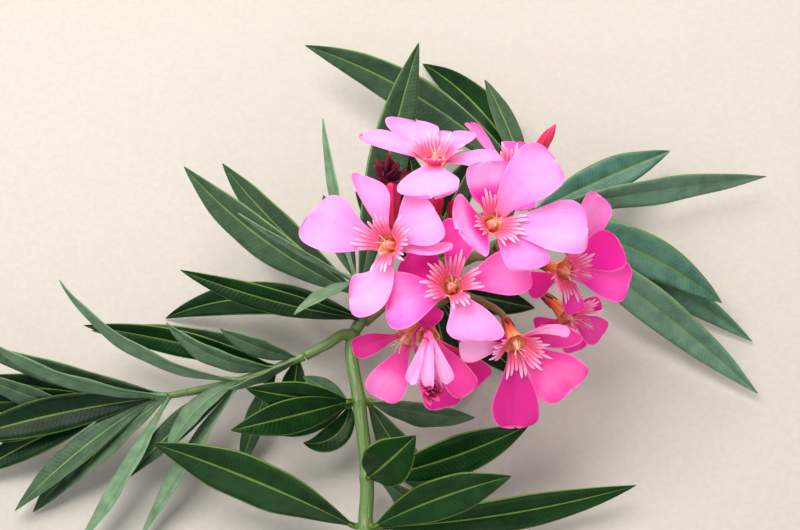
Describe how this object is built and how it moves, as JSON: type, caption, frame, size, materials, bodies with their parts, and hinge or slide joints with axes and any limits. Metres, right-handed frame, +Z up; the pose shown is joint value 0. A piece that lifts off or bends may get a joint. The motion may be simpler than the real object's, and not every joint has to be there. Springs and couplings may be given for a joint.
{
  "type": "flowering oleander branch",
  "caption": "Cut leafy branch of a garden shrub, lying on its back, with long narrow leaves in whorls and a loose head of open pink blooms.",
  "frame": {"origin": "middle of the bounding box in x and y, at the height of the table the branch lies on", "axes": "+Z up, away from the table, with the blooms on top; the cut end points along -Y and the leafy side shoot along -X"},
  "size_m": [0.2822, 0.2764, 0.0935],
  "materials": {
    "stem": "satin green bark, browner towards the cut",
    "flower_stalk": "satin green, flushed with red",
    "leaves": "leathery, glossy above and matt below",
    "petals": "soft matt petals",
    "buds": "satin dark red"
  },
  "bodies": {
    "root": {"main_stem": "stem", "left_shoot": "stem", "foot_leaves": "leaves", "lower_leaves": "leaves", "middle_leaves": "leaves", "fork_leaves": "leaves", "head_leaves": "leaves", "left_leaves_inner": "leaves", "left_leaves_outer": "leaves", "upper_left_leaves": "leaves", "right_leaves": "leaves", "top_leaves": "leaves", "flower_stalk": "flower_stalk", "withered_bloom": "buds", "bloom_1": "petals", "bloom_2": "petals", "bloom_3": "petals", "bloom_4": "petals", "bloom_5": "petals", "bloom_6": "petals", "bloom_7": "petals", "bloom_8": "petals", "bloom_9": "petals", "bloom_10": "petals", "bud_1": "buds", "bud_2": "buds", "bud_3": "buds"}
  },
  "joints": []
}
